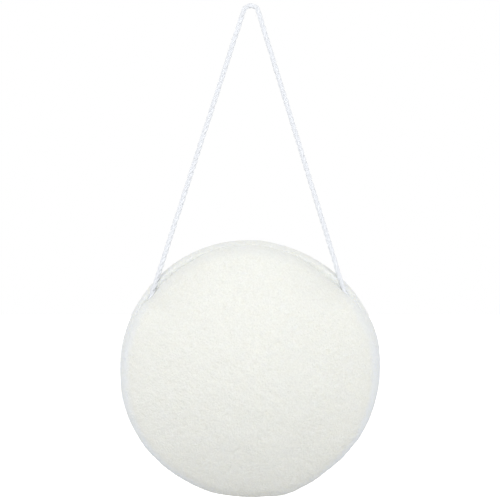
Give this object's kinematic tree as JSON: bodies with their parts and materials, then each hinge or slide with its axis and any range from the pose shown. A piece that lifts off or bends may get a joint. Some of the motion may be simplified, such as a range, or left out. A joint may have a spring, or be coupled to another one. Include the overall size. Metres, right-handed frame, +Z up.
{
  "type": "konjac sponge",
  "caption": "Domed round facial sponge with a groove round its edge, hanging from a loop of twisted cotton string that runs in the groove.",
  "frame": {"origin": "underside of the string's bight, where the hook bears", "axes": "+Z up along the hanging string, -Y the way the domed face looks, +X to the right of someone looking at the domed face"},
  "size_m": [0.08, 0.0338, 0.1527],
  "materials": {
    "konjac_foam": "fine open pores, matte, slightly translucent",
    "cotton_string": "twisted, matte"
  },
  "bodies": {
    "string": {"string_loop": "cotton_string"},
    "sponge": {"sponge_body": "konjac_foam", "string_waist_left": "cotton_string", "string_waist_right": "cotton_string", "string_knot": "cotton_string"}
  },
  "joints": [
    {"name": "sponge_swing", "type": "hinge", "parent": "string", "child": "sponge", "pos_m": [0, 0, -0.0796], "axis": [1, 0, 0], "range_deg": [-90, 90]}
  ]
}
